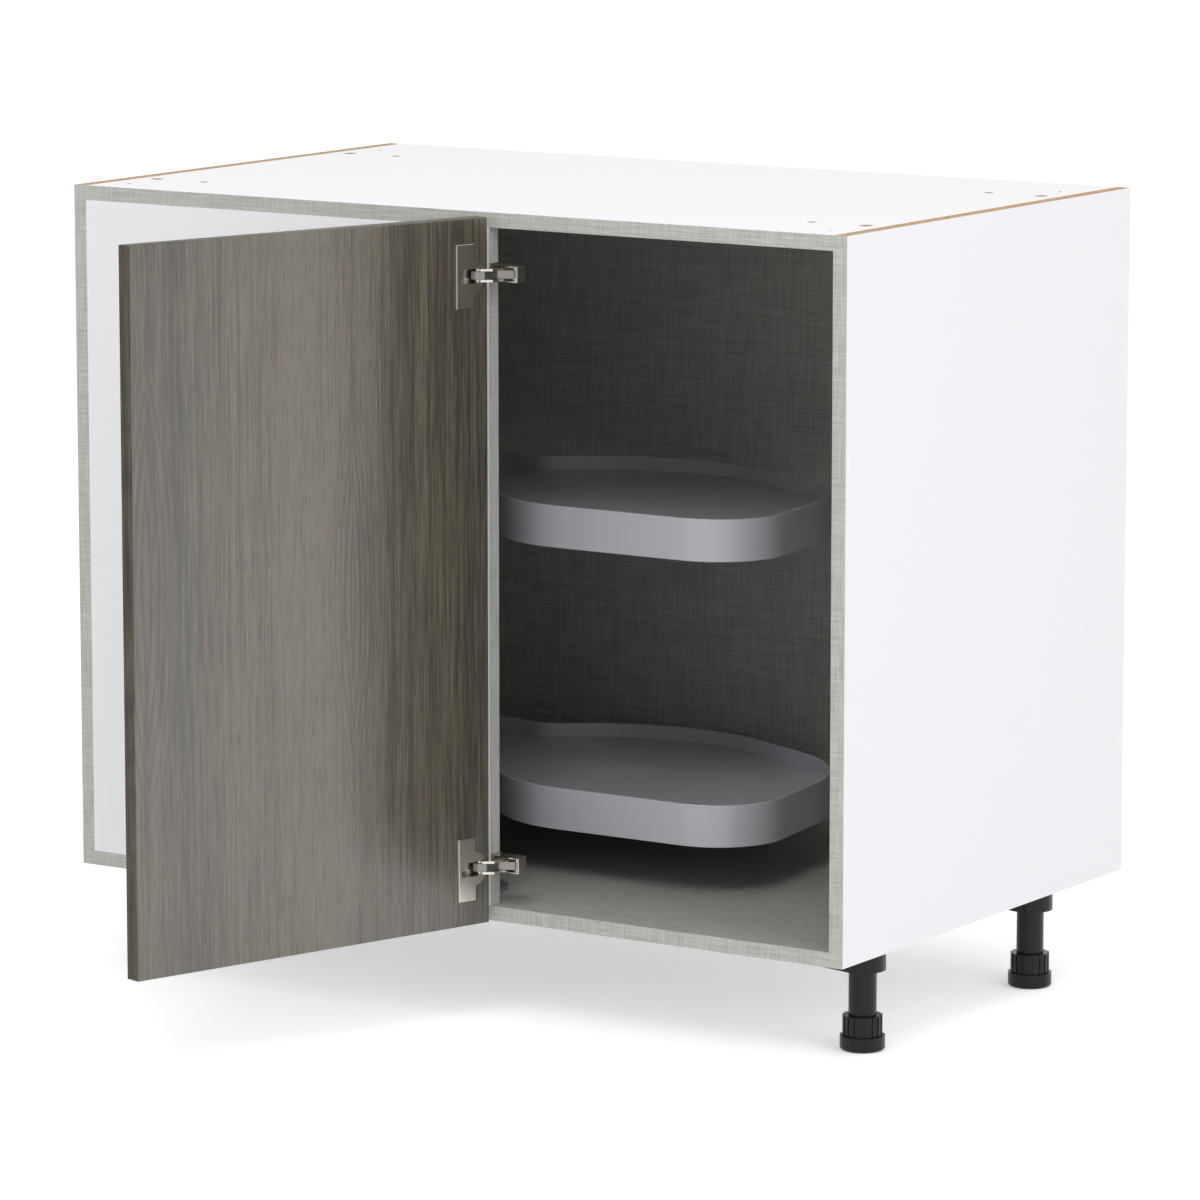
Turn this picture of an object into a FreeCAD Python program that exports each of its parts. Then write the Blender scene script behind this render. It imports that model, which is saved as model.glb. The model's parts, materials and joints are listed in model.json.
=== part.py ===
import FreeCAD, Part
import math
import os
import re

# Blind corner base cabinet with two swing-out kidney trays, in millimetres.
# X runs to the right from the middle of the carcass, Y to the back with the back face at 0,
# Z up from the floor. The door stands open, as it does when the trays are in use.

driving = {
    # carcass boards
    "carcass_width": 990.6,
    "carcass_depth": 604.0,
    "carcass_height": 762.0,
    "leg_height": 114.3,
    "board": 16.0,
    "back_board": 16.0,
    "tape": 1.0,
    "opening_width": 422.3,
    # panel joints: cam locks, their bolts and dowels
    "cam_radius": 7.4,
    "cam_height": 12.0,
    "cam_end_inset": 21.3,
    "cam_front_inset": 101.0,
    "cam_back_inset": 133.0,
    "cam_slot_length": 9.0,
    "cam_slot_width": 1.6,
    "cam_slot_depth": 2.5,
    "bolt_radius": 3.0,
    "bolt_grip": 11.0,
    "bolt_stop": 5.5,
    "dowel_radius": 4.0,
    "dowel_length": 30.0,
    "dowel_grip": 11.0,
    "dowel_pitch": 32.0,
    "dowel_corner_inset": 90.0,
    "drill_clearance": 0.1,
    # open holes in the top panel
    "fixing_radius": 5.0,
    "fixing_end_inset": 86.3,
    "pilot_radius": 2.5,
    "pilot_depth": 10.0,
    "pilot_end_inset": 28.0,
    "pilot_front_inset": 42.0,
    "pilot_back_inset": 81.0,
    # legs
    "leg_side_inset": 46.3,
    "leg_front_inset": 120.0,
    "leg_back_inset": 123.0,
    "collar_radius": 24.6,
    "collar_height": 27.6,
    "plate_thickness": 4.0,
    "socket_tail": 75.0,
    "socket_tail_radius": 8.0,
    "socket_wall": 2.4,
    "tube_radius": 15.0,
    "tube_wall": 2.5,
    "seat_clearance": 0.05,
    "foot_radius": 24.2,
    "foot_height": 16.0,
    "foot_round": 4.0,
    "sleeve_radius": 20.4,
    "sleeve_height": 21.8,
    "sleeve_ribs": 16,
    "rib_height": 0.85,
    "rib_width": 4.6,
    "foot_sole": 7.0,
    "foot_retract": 5.0,
    "slide_clearance": 0.08,
    # screws
    "screw_radius": 1.8,
    "screw_head_radius": 3.6,
    "screw_head_height": 2.2,
    "flush_head_radius": 2.9,
    "screw_grip": 11.0,
    "leg_screw_reach": 43.0,
    "leg_screw_spread": 7.0,
    # column of the swing-out fitting
    "column_radius": 14.0,
    "column_wall": 2.0,
    "column_side_setback": 62.0,
    "column_front_setback": 67.0,
    "flange_radius": 32.0,
    "flange_thickness": 5.0,
    "flange_screw_circle": 26.0,
    "flange_screws": 3,
    "socket_radius": 19.0,
    "socket_height": 15.0,
    "ring_radius": 21.0,
    "ring_height": 8.0,
    "running_clearance": 0.06,
    "thrust_gap": 0.3,
    # trays
    "lower_tray_rise": 104.7,
    "tray_spacing": 310.6,
    "tray_height": 46.0,
    "tray_recess": 16.0,
    "tray_wall": 3.2,
    "tray_floor": 3.0,
    "tray_rim_round": 1.2,
    "tray_boss_radius": 8.0,
    "tray_gable_gap": 15.0,
    "tray_back_gap": 16.0,
    "tray_left_gap": 24.3,
    "tray_front_offset": 74.0,
    "tray_right_reach": 298.8,
    "front_corner_round": 75.0,
    "back_right_angle": 53.9,
    "back_right_inset": 27.7,
    "back_right_round": 190.0,
    "back_angle": 93.1,
    "back_outset": 21.8,
    "back_round": 225.0,
    "notch_angle": 114.2,
    "notch_inset": 41.8,
    "notch_round": 25.0,
    "lobe_angle": 124.2,
    "lobe_outset": 2.6,
    "lobe_round": 120.0,
    "lobe_side_offset": 237.0,
    "lobe_side_round": 90.0,
    "lobe_front_inset": 14.0,
    "lobe_front_round": 60.0,
    "waist_left": 200.0,
    "waist_middle": 100.0,
    "waist_depth": 84.0,
    "waist_round": 60.0,
    "waist_shoulder_round": 150.0,
    # tray arms
    "arm_thickness": 4.5,
    "arm_width": 30.0,
    "hub_radius": 20.5,
    "hub_height": 24.0,
    "bush_wall": 3.0,
    "bush_flange": 2.0,
    "bush_flange_radius": 20.0,
    "knee_reach": 192.0,
    "knee_angle": 128.7,
    "right_arm_reach": 318.0,
    "right_arm_angle": 70.0,
    "left_arm_reach": 385.0,
    "left_arm_angle": 137.0,
    "arm_screw_pitch": 150.0,
    "tray_screw_grip": 16.0,
    # door
    "door_width": 457.0,
    "door_thickness": 19.0,
    "door_top_reveal": 3.0,
    "door_bottom_reveal": 2.0,
    "door_round": 1.0,
    "door_overlay": 25.65,
    "door_gap": 2.91,
    "door_open_angle": 107.8,
    # hinge cups
    "hinge_end_inset": 61.0,
    "cup_radius": 17.4,
    "cup_wall": 1.0,
    "cup_depth": 12.6,
    "cup_edge_inset": 22.5,
    "cup_rim": 1.2,
    "cup_rim_thickness": 1.0,
    "cup_slot_half_height": 7.6,
    "cup_pin_grip": 1.6,
    "cup_flange_width": 22.8,
    "cup_flange_height": 68.0,
    "cup_flange_offset": 8.1,
    "cup_flange_thickness": 1.8,
    "cup_flange_round": 0.5,
    "cup_flange_slot": 15.5,
    "cup_screw_pitch": 45.0,
    # hinge pivots: the two on the arm are taken from the panel's edge and the front plane,
    # the two in the cup from the door's hinge edge and its inner face
    "fork_arm_side": 23.07,
    "fork_arm_front": -11.08,
    "bar_arm_side": 32.09,
    "bar_arm_front": -1.19,
    "fork_cup_side": 10.29,
    "fork_cup_deep": 3.33,
    "bar_cup_side": 14.08,
    "bar_cup_deep": 6.23,
    # bends of the two links, placed as the pivots on the arm are, with the door shut
    "fork_elbow_side": -0.25,
    "fork_elbow_front": 10.5,
    "fork_hook_side": -12.0,
    "fork_hook_front": 10.5,
    "bar_heel_side": 12.5,
    "bar_heel_front": -1.25,
    "bar_elbow_side": 0.5,
    "bar_elbow_front": 11.5,
    "bar_hook_side": -9.25,
    "bar_hook_front": 11.5,
    "pin_radius": 1.2,
    "pin_seat": 0.02,
    "eye_radius": 2.2,
    "link_half_width": 1.1,
    "bar_half_height": 4.2,
    "link_gap": 0.4,
    "fork_cheek": 2.4,
    "fork_web_start": 4.0,
    "fork_web_end": 9.0,
    "cheek_gap": 0.3,
    "cheek_thickness": 1.2,
    "arm_plate": 1.6,
    "arm_plate_half_height": 10.0,
    "arm_nose": 2.6,
    "arm_corner_round": 0.5,
    "arm_heel_round": 3.0,
    "arm_screw_inset": 4.5,
}

doc = FreeCAD.newDocument("blind_corner_cabinet")
sizes = doc.addObject("Spreadsheet::Sheet", "sizes")
for row, (alias, number) in enumerate(driving.items(), start=1):
    sizes.set(f"A{row}", alias)
    sizes.set(f"B{row}", str(number))
    sizes.setAlias(f"B{row}", alias)
doc.recompute()


def size(alias):
    return float(sizes.get(alias))


def bind(thing, prop, formula):
    named = re.sub(
        r"[a-z][a-z_]+",
        lambda word: "sizes." + word[0] if word[0] in driving else word[0],
        formula,
    )
    thing.setExpression(prop, named)


nodes = []


def node(label, thing):
    thing.Label = label
    nodes.append(thing)
    return thing


# Building blocks. Places and sizes are formulas on the sheet's names.

def put(thing, at):
    for letter, formula in zip("xyz", at):
        bind(thing, f"Placement.Base.{letter}", formula)
    return thing


def box(at, length, width, height):
    thing = doc.addObject("Part::Box", "block")
    bind(thing, "Length", length)
    bind(thing, "Width", width)
    bind(thing, "Height", height)
    return put(thing, at)


turns = {
    "+Z": FreeCAD.Rotation(),
    "+X": FreeCAD.Rotation(FreeCAD.Vector(0, 1, 0), 90),
    "-X": FreeCAD.Rotation(FreeCAD.Vector(0, 1, 0), -90),
    "+Y": FreeCAD.Rotation(FreeCAD.Vector(1, 0, 0), -90),
    "-Y": FreeCAD.Rotation(FreeCAD.Vector(1, 0, 0), 90),
}


def rod(at, radius, length, along="+Z"):
    thing = doc.addObject("Part::Cylinder", "rod")
    bind(thing, "Radius", radius)
    bind(thing, "Height", length)
    thing.Placement = FreeCAD.Placement(FreeCAD.Vector(), turns[along])
    return put(thing, at)


def group(pieces):
    thing = doc.addObject("Part::Compound", "group")
    thing.Links = pieces
    return thing


def fuse(pieces):
    thing = doc.addObject("Part::MultiFuse", "joined")
    thing.Shapes = pieces
    thing.Refine = True
    return thing


def cut(base, tools):
    thing = doc.addObject("Part::Cut", "cut")
    thing.Base = base
    thing.Tool = tools[0] if len(tools) == 1 else group(tools)
    return thing


def common(first, second):
    thing = doc.addObject("Part::Common", "shared")
    thing.Base = first
    thing.Tool = second
    return thing


def screw(at, grip, through, along):
    # A pan-head screw: at is the seat of its head, along points from the head to the tip.
    back = {"+Z": (0, 0, -1), "+X": (-1, 0, 0), "-X": (1, 0, 0), "+Y": (0, -1, 0), "-Y": (0, 1, 0)}[along]
    head_at = [f"{place} + {step} * screw_head_height" for place, step in zip(at, back)]
    head = rod(head_at, "screw_head_radius", "screw_head_height", along)
    shank = rod(at, "screw_radius", f"{through} + {grip}", along)
    return fuse([head, shank])


def drill(at, grip, through, along):
    return rod(at, "screw_radius + drill_clearance", f"{through} + {grip} + drill_clearance", along)


def downward(at, length):
    # The start of an upward tool that stands in for one going down from at.
    return [at[0], at[1], f"{at[2]} - ({length})"]


# Outlines that are worked out from the sheet in code, then raised by a bound height.

def raise_outline(wire, low, height):
    outline = doc.addObject("Part::Feature", "outline")
    outline.Shape = wire
    return extrude(outline, low, height)


def extrude(outline, low, height):
    thing = doc.addObject("Part::Extrusion", "raised")
    thing.Base = outline
    thing.DirMode = "Custom"
    thing.Dir = FreeCAD.Vector(0, 0, 1)
    thing.Solid = True
    bind(thing, "LengthFwd", height)
    bind(thing, "Placement.Base.z", low)
    return thing


edge_share = 0.995  # the most of an edge that the roundings at its two ends take up
near = 1e-4  # how close two places count as one


def rounded_wire(corners):
    # A closed outline through corner points, each rounded by its own radius.
    # Where two roundings would meet on an edge, both shrink to share it.
    points = [FreeCAD.Vector(x, y, 0) for x, y, radius in corners]
    count = len(points)
    halves = []
    for index in range(count):
        into = (points[index] - points[index - 1]).normalize()
        out = (points[(index + 1) % count] - points[index]).normalize()
        halves.append(math.tan(into.getAngle(out) / 2))
    reach = [corner[2] * half for corner, half in zip(corners, halves)]
    edge_room = [points[index].distanceToPoint(points[index - 1]) * edge_share for index in range(count)]
    shares = [min(1, edge_room[index] / (reach[index] + reach[index - 1])) for index in range(count)]
    reach = [reach[index] * min(shares[index], shares[(index + 1) % count]) for index in range(count)]
    edges = []
    ends = []
    for index in range(count):
        here = points[index]
        into = (here - points[index - 1]).normalize()
        out = (points[(index + 1) % count] - here).normalize()
        start = here - into * reach[index]
        end = here + out * reach[index]
        radius = reach[index] / halves[index]
        inward = (out - into).normalize()
        middle = here + inward * (radius * (math.hypot(1, halves[index]) - 1))
        ends.append((start, middle, end))
    for index in range(count):
        start, middle, end = ends[index]
        edges.append(Part.LineSegment(ends[index - 1][2], start).toShape())
        edges.append(Part.Arc(start, middle, end).toShape())
    return Part.Wire(edges)


def belt_wire(first, first_radius, second, second_radius):
    # The outline of a strap stretched round two circles.
    first = FreeCAD.Vector(first[0], first[1], 0)
    second = FreeCAD.Vector(second[0], second[1], 0)
    span = second - first
    lean = math.asin((first_radius - second_radius) / span.Length)
    heading = math.atan2(span.y, span.x)

    def around(centre, radius, angle):
        return centre + FreeCAD.Vector(math.cos(angle), math.sin(angle), 0) * radius

    left = heading + math.pi / 2 - lean
    right = heading - math.pi / 2 + lean
    first_left = around(first, first_radius, left)
    first_right = around(first, first_radius, right)
    second_left = around(second, second_radius, left)
    second_right = around(second, second_radius, right)
    first_tip = around(first, first_radius, heading + math.pi)
    second_tip = around(second, second_radius, heading)
    return Part.Wire([
        Part.LineSegment(first_right, second_right).toShape(),
        Part.Arc(second_right, second_tip, second_left).toShape(),
        Part.LineSegment(second_left, first_left).toShape(),
        Part.Arc(first_left, first_tip, first_right).toShape(),
    ])


def rounded_edges(base, radius, chosen):
    doc.recompute()
    thing = doc.addObject("Part::Fillet", "rounded")
    thing.Base = base
    numbers = [number for number, edge in enumerate(base.Shape.Edges, start=1) if chosen(edge)]
    thing.Edges = [(number, radius, radius) for number in numbers]
    return thing


def level(edge, height):
    box_of_edge = edge.BoundBox
    return abs(box_of_edge.ZMin - height) < near and abs(box_of_edge.ZMax - height) < near


def facing(edge, depth):
    box_of_edge = edge.BoundBox
    return abs(box_of_edge.YMin - depth) < near and abs(box_of_edge.YMax - depth) < near


# Planes of the carcass, as formulas.

half_inside = "(carcass_width / 2 - board)"
blind_edge = "(carcass_width / 2 - board - opening_width)"
floor_z = "(leg_height + board)"
lid_z = "(leg_height + carcass_height - board)"
top_z = "(leg_height + carcass_height)"
inside_height = "(carcass_height - 2 * board)"
column_x = f"({blind_edge} - column_side_setback)"
column_y = "(column_front_setback - carcass_depth)"
row_y = {
    "front": "(cam_front_inset - carcass_depth)",
    "back": "(-cam_back_inset)",
}
dowel_y = {
    "front": "(cam_front_inset + dowel_pitch - carcass_depth)",
    "back": "(-cam_back_inset - dowel_pitch)",
}

# Drillings are collected for each board as the fittings are made.
drillings = {name: [] for name in ("left_gable", "right_gable", "top", "bottom", "back", "blind")}
cams = []
bolts = []
dowels = []
inward = {-1: "+X", 1: "-X"}
gable = {-1: "left_gable", 1: "right_gable"}


def side_joint(side, panel, row):
    # A cam lock with its bolt, and a dowel beside it, between a gable and an end of a panel.
    cam_x = f"{side} * ({half_inside} - cam_end_inset)"
    hole_low = f"{top_z} - cam_height - drill_clearance" if panel == "top" else "leg_height"
    cam_low = f"{top_z} - cam_height" if panel == "top" else "leg_height"
    middle_z = f"({top_z} - board / 2)" if panel == "top" else "(leg_height + board / 2)"
    slot_low = f"{top_z} - cam_slot_depth" if panel == "top" else "leg_height"
    bolt_at = [f"{side} * ({half_inside} + bolt_grip)", row_y[row], middle_z]
    bolt_length = "bolt_grip + cam_end_inset - bolt_stop"
    bolts.append(rod(bolt_at, "bolt_radius", bolt_length, inward[side]))
    bore_at = [f"{side} * ({half_inside} + bolt_grip + drill_clearance)", row_y[row], middle_z]
    bore = rod(bore_at, "bolt_radius + drill_clearance", "bolt_grip + cam_end_inset", inward[side])
    hole = rod([cam_x, row_y[row], hole_low], "cam_radius + drill_clearance", "cam_height + drill_clearance")
    disc = rod([cam_x, row_y[row], cam_low], "cam_radius", "cam_height")
    along = box(
        [f"{cam_x} - cam_slot_length / 2", f"{row_y[row]} - cam_slot_width / 2", slot_low],
        "cam_slot_length", "cam_slot_width", "cam_slot_depth")
    across = box(
        [f"{cam_x} - cam_slot_width / 2", f"{row_y[row]} - cam_slot_length / 2", slot_low],
        "cam_slot_width", "cam_slot_length", "cam_slot_depth")
    cams.append(cut(disc, [along, across, bore]))
    drillings[panel] += [hole, bore]
    drillings[gable[side]].append(bore)
    dowel_joint(
        [f"{side} * ({half_inside} + dowel_grip)", dowel_y[row], middle_z], inward[side],
        [panel, gable[side]])


def dowel_joint(at, along, boards):
    dowels.append(rod(at, "dowel_radius", "dowel_length", along))
    back = {"+X": (-1, 0, 0), "-X": (1, 0, 0), "+Z": (0, 0, -1)}[along]
    hole_at = [f"{place} + {step} * drill_clearance" for place, step in zip(at, back)]
    hole = rod(hole_at, "dowel_radius + drill_clearance", "dowel_length + 2 * drill_clearance", along)
    for name in boards:
        drillings[name].append(hole)


for side in (-1, 1):
    for row in ("front", "back"):
        for panel in ("top", "bottom"):
            side_joint(side, panel, row)
        fixing_at = [f"{side} * ({half_inside} - fixing_end_inset)", row_y[row], lid_z]
        drillings["top"].append(rod(fixing_at, "fixing_radius", "board"))
    for pilot_y in ("pilot_front_inset - carcass_depth", "-pilot_back_inset"):
        pilot_at = [f"{side} * ({half_inside} - pilot_end_inset)", pilot_y, f"{top_z} - pilot_depth"]
        drillings["top"].append(rod(pilot_at, "pilot_radius", "pilot_depth"))
    for dowel_z in (f"{floor_z} + dowel_corner_inset", f"{lid_z} - dowel_corner_inset"):
        dowel_joint(
            [f"{side} * ({half_inside} + dowel_grip)", "-back_board / 2", dowel_z], inward[side],
            ["back", gable[side]])

for dowel_x in (f"dowel_corner_inset - {half_inside}", f"{blind_edge} - dowel_corner_inset"):
    panel_y = "board / 2 - carcass_depth"
    dowel_joint([dowel_x, panel_y, f"{floor_z} - dowel_grip"], "+Z", ["bottom", "blind"])
    dowel_joint([dowel_x, panel_y, f"{lid_z} + dowel_grip - dowel_length"], "+Z", ["top", "blind"])

# Legs: a socket under each corner, a tube in it and a levelling foot on the tube. The socket is a
# collar with a drop-shaped tail, walled all round, that carries the screws.
leg_screws = []
for depth_name, leg_y in (("front", "leg_front_inset - carcass_depth"), ("back", "-leg_back_inset")):
    for side_name, side in (("left", -1), ("right", 1)):
        corner = f"{depth_name}_{side_name}"
        leg_x = f"{side} * (carcass_width / 2 - leg_side_inset)"
        drops = []
        for inset in (0, size("socket_wall")):
            drop = belt_wire(
                (0, 0), size("collar_radius") - inset,
                (-side * size("socket_tail"), 0), size("socket_tail_radius") - inset)
            drops.append(drop)
        collar_low = "leg_height - collar_height"
        hollow_height = "collar_height - plate_thickness"
        shell = raise_outline(drops[0], collar_low, "collar_height")
        pocket = raise_outline(drops[1], collar_low, hollow_height)
        for thing in (shell, pocket):
            bind(thing, "Placement.Base.x", leg_x)
            bind(thing, "Placement.Base.y", leg_y)
        collar = rod([leg_x, leg_y, collar_low], "collar_radius", "collar_height")
        bore = rod([leg_x, leg_y, collar_low], "tube_radius + seat_clearance", hollow_height)
        holes = []
        for spread in (-1, 1):
            seat = [
                f"{leg_x} - {side} * leg_screw_reach", f"{leg_y} + {spread} * leg_screw_spread",
                "leg_height - plate_thickness"]
            leg_screws.append(screw(seat, "screw_grip", "plate_thickness", "+Z"))
            hole = drill(seat, "screw_grip", "plate_thickness", "+Z")
            holes.append(hole)
            drillings["bottom"].append(hole)
        node(f"leg_socket_{corner}", cut(fuse([cut(shell, [pocket]), collar]), [bore] + holes))

        tube_low = "foot_sole + foot_retract + thrust_gap"
        tube_length = f"leg_height - plate_thickness - ({tube_low})"
        tube = rod([leg_x, leg_y, tube_low], "tube_radius", tube_length)
        hollow = rod([leg_x, leg_y, tube_low], "tube_radius - tube_wall", tube_length)
        node(f"leg_tube_{corner}", cut(tube, [hollow]))

        disc = rod([leg_x, leg_y, "0"], "foot_radius", "foot_height")
        rounded_disc = rounded_edges(disc, size("foot_round"), lambda edge: level(edge, 0))
        sleeve = rod([leg_x, leg_y, "foot_height"], "sleeve_radius", "sleeve_height")
        ribs = []
        for index in range(int(size("sleeve_ribs"))):
            turn = 360 * index / size("sleeve_ribs")
            rib = doc.addObject("Part::Box", "sleeve_rib")
            bind(rib, "Length", "sleeve_radius + rib_height")
            bind(rib, "Width", "rib_width")
            bind(rib, "Height", "sleeve_height")
            rib.Placement.Rotation = FreeCAD.Rotation(FreeCAD.Vector(0, 0, 1), turn)
            offset_x = f"{leg_x} + rib_width / 2 * {math.sin(math.radians(turn))}"
            offset_y = f"{leg_y} - rib_width / 2 * {math.cos(math.radians(turn))}"
            ribs.append(put(rib, [offset_x, offset_y, "foot_height"]))
        body = fuse([rounded_disc, sleeve] + ribs)
        foot_bore = rod(
            [leg_x, leg_y, "foot_sole"], "tube_radius + slide_clearance",
            "foot_height + sleeve_height - foot_sole")
        node(f"foot_{corner}", cut(body, [foot_bore]))
node("leg_screws", group(leg_screws))

# Column: a tube that stands in a flanged socket on the floor and in another under the top.
column_screws = []


def column_socket(name, flange_low, socket_low, seat_z, along, board):
    flange = rod([column_x, column_y, flange_low], "flange_radius", "flange_thickness")
    sleeve = rod([column_x, column_y, socket_low], "socket_radius", "socket_height")
    bore = rod([column_x, column_y, socket_low], "column_radius + seat_clearance", "socket_height")
    holes = []
    for index in range(int(size("flange_screws"))):
        turn = math.radians(90 + 360 * index / size("flange_screws"))
        seat = [
            f"{column_x} + flange_screw_circle * {math.cos(turn)}",
            f"{column_y} + flange_screw_circle * {math.sin(turn)}", seat_z]
        if along == "+Z":
            column_screws.append(screw(seat, "screw_grip", "flange_thickness", "+Z"))
            hole = drill(seat, "screw_grip", "flange_thickness", "+Z")
        else:
            reach = "flange_thickness + screw_grip"
            head = rod(seat, "screw_head_radius", "screw_head_height")
            shank = rod(downward(seat, reach), "screw_radius", reach)
            column_screws.append(fuse([head, shank]))
            deep = f"{reach} + drill_clearance"
            hole = rod(downward(seat, deep), "screw_radius + drill_clearance", deep)
        holes.append(hole)
        drillings[board].append(hole)
    node(name, cut(fuse([flange, sleeve]), [bore] + holes))


column_socket(
    "column_bottom_socket", floor_z, f"{floor_z} + flange_thickness", f"{floor_z} + flange_thickness",
    "-Z", "bottom")
column_socket(
    "column_top_socket", f"{lid_z} - flange_thickness", f"{lid_z} - flange_thickness - socket_height",
    f"{lid_z} - flange_thickness", "+Z", "top")
column_low = f"{floor_z} + flange_thickness"
column_length = f"{inside_height} - 2 * flange_thickness"
post = rod([column_x, column_y, column_low], "column_radius", column_length)
post_hollow = rod([column_x, column_y, column_low], "column_radius - column_wall", column_length)
node("column_post", cut(post, [post_hollow]))
node("column_screws", group(column_screws))

# Trays. The outline is set about the column's axis: the right lobe is held by the width of the
# opening that it swings out through, the left lobe by the back panel and the left gable.
depth_inside = size("carcass_depth") - size("back_board") - size("column_front_setback")
left_swing = depth_inside - size("tray_back_gap")
right_swing = min(size("opening_width") + size("column_side_setback") - size("tray_gable_gap"), left_swing)
width_left = size("carcass_width") - 2 * size("board") - size("opening_width") - size("column_side_setback")


def from_column(angle, radius):
    return radius * math.cos(math.radians(angle)), radius * math.sin(math.radians(angle))


front_line = size("tray_front_offset")
lobe_limit = left_swing + size("lobe_outset")
left_line = -min(
    width_left - size("tray_left_gap"), math.sqrt(lobe_limit**2 - size("lobe_side_offset") ** 2))
waist_x = -size("waist_middle")
waist_y = front_line + size("waist_depth")
back_right = from_column(size("back_right_angle"), right_swing - size("back_right_inset"))
tray_corners = [
    (size("tray_right_reach"), front_line, size("front_corner_round")),
    (*back_right, size("back_right_round")),
    (*from_column(size("back_angle"), right_swing + size("back_outset")), size("back_round")),
    (*from_column(size("notch_angle"), right_swing - size("notch_inset")), size("notch_round")),
    (*from_column(size("lobe_angle"), lobe_limit), size("lobe_round")),
    (left_line, size("lobe_side_offset"), size("lobe_side_round")),
    (left_line + size("lobe_front_inset"), front_line, size("lobe_front_round")),
    (-size("waist_left"), front_line, size("waist_round")),
    (waist_x, waist_y, size("waist_round")),
    (0, front_line, size("waist_shoulder_round")),
]
# The steel arm under a tray runs from its hub to a knee and forks there to its two ends.
arm_knee = from_column(size("knee_angle"), size("knee_reach"))
arm_ends = [
    from_column(size("right_arm_angle"), size("right_arm_reach")),
    from_column(size("left_arm_angle"), size("left_arm_reach")),
]
arm_middles = []
for end_x, end_y in arm_ends:
    share = size("arm_screw_pitch") / math.hypot(end_x - arm_knee[0], end_y - arm_knee[1])
    arm_middles.append((end_x + share * (arm_knee[0] - end_x), end_y + share * (arm_knee[1] - end_y)))


def tray_set(name, rim_z):
    skirt_z = f"({rim_z} - tray_height)"
    floor_top = f"({rim_z} - tray_recess)"
    outline = doc.addObject("Part::Feature", "tray_outline")
    outline.Shape = rounded_wire(tray_corners)
    inner = doc.addObject("Part::Offset2D", "tray_inner")
    inner.Source = outline
    bind(inner, "Value", "-tray_wall")
    shell = extrude(outline, skirt_z, "tray_height")
    recess = extrude(inner, floor_top, "tray_recess")
    underside = extrude(inner, skirt_z, "tray_height - tray_recess - tray_floor")
    hollowed = cut(shell, [recess, underside])
    rim_level = size("leg_height") + size("board") + size("lower_tray_rise")
    rim_level += size("tray_spacing") if name == "upper" else 0
    rimmed = rounded_edges(hollowed, size("tray_rim_round"), lambda edge: level(edge, rim_level))
    bosses = []
    pilots = []
    screws = []
    arm_holes = []
    for boss_x, boss_y in arm_ends + arm_middles:
        boss_at = [str(boss_x), str(boss_y), skirt_z]
        bosses.append(rod(boss_at, "tray_boss_radius", "tray_height - tray_recess - tray_floor / 2"))
        seat = [str(boss_x), str(boss_y), f"{skirt_z} - arm_thickness"]
        pilots.append(drill(seat, "tray_screw_grip", "arm_thickness", "+Z"))
        screws.append(screw(seat, "tray_screw_grip", "arm_thickness", "+Z"))
        arm_holes.append(pilots[-1])
    tray = cut(fuse([rimmed] + bosses), pilots)

    hub_low = f"({skirt_z} - hub_height)"
    hub = rod(["0", "0", hub_low], "hub_radius", "hub_height")
    half_width = size("arm_width") / 2
    straps = [belt_wire((0, 0), size("hub_radius"), arm_knee, half_width)]
    straps += [belt_wire(arm_knee, half_width, end, half_width) for end in arm_ends]
    bars = [raise_outline(strap, f"{skirt_z} - arm_thickness", "arm_thickness") for strap in straps]
    bush_radius = "column_radius + running_clearance + bush_wall"
    hub_bore = rod(["0", "0", hub_low], f"{bush_radius} + seat_clearance", "hub_height")
    arm = cut(fuse([hub] + bars), [hub_bore] + arm_holes)
    lining = rod(["0", "0", hub_low], bush_radius, "hub_height")
    lip = rod(["0", "0", f"{hub_low} - bush_flange"], "bush_flange_radius", "bush_flange")
    bush_bore = rod(
        ["0", "0", f"{hub_low} - bush_flange"], "column_radius + running_clearance",
        "hub_height + bush_flange")
    bush = cut(fuse([lining, lip]), [bush_bore])
    ring_low = f"{hub_low} - bush_flange - thrust_gap - ring_height"
    ring = rod(["0", "0", ring_low], "ring_radius", "ring_height")
    ring_bore = rod(["0", "0", ring_low], "column_radius + seat_clearance", "ring_height")
    pieces = {
        f"{name}_tray": tray,
        f"{name}_tray_arm": arm,
        f"{name}_tray_bush": bush,
        f"{name}_tray_screws": group(screws),
        f"{name}_collar": cut(ring, [ring_bore]),
    }
    for label, thing in pieces.items():
        bind(thing, "Placement.Base.x", column_x)
        bind(thing, "Placement.Base.y", column_y)
        node(label, thing)


tray_set("lower", f"({floor_z} + lower_tray_rise)")
tray_set("upper", f"({floor_z} + lower_tray_rise + tray_spacing)")

# Hinge linkage, worked out in plan: side is to the right of the panel's edge, front is ahead of
# the front plane. The fork and the bar are the two links of a four-bar linkage.

def turned(vector, degrees):
    cosine = math.cos(math.radians(degrees))
    sine = math.sin(math.radians(degrees))
    return cosine * vector[0] - sine * vector[1], sine * vector[0] + cosine * vector[1]


def minus(first, second):
    return first[0] - second[0], first[1] - second[1]


def plus(first, second):
    return first[0] + second[0], first[1] + second[1]


def heading(vector):
    return math.degrees(math.atan2(vector[1], vector[0]))


def pair(name, *parts):
    return tuple(size(f"{name}_{part}") for part in parts)


fork_arm = pair("fork_arm", "side", "front")
bar_arm = pair("bar_arm", "side", "front")
fork_cup = pair("fork_cup", "side", "deep")
bar_cup = pair("bar_cup", "side", "deep")
closed_corner = (-size("door_overlay"), size("door_gap"))
fork_closed = minus(plus(closed_corner, fork_cup), fork_arm)
bar_closed = minus(plus(closed_corner, bar_cup), bar_arm)


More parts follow.
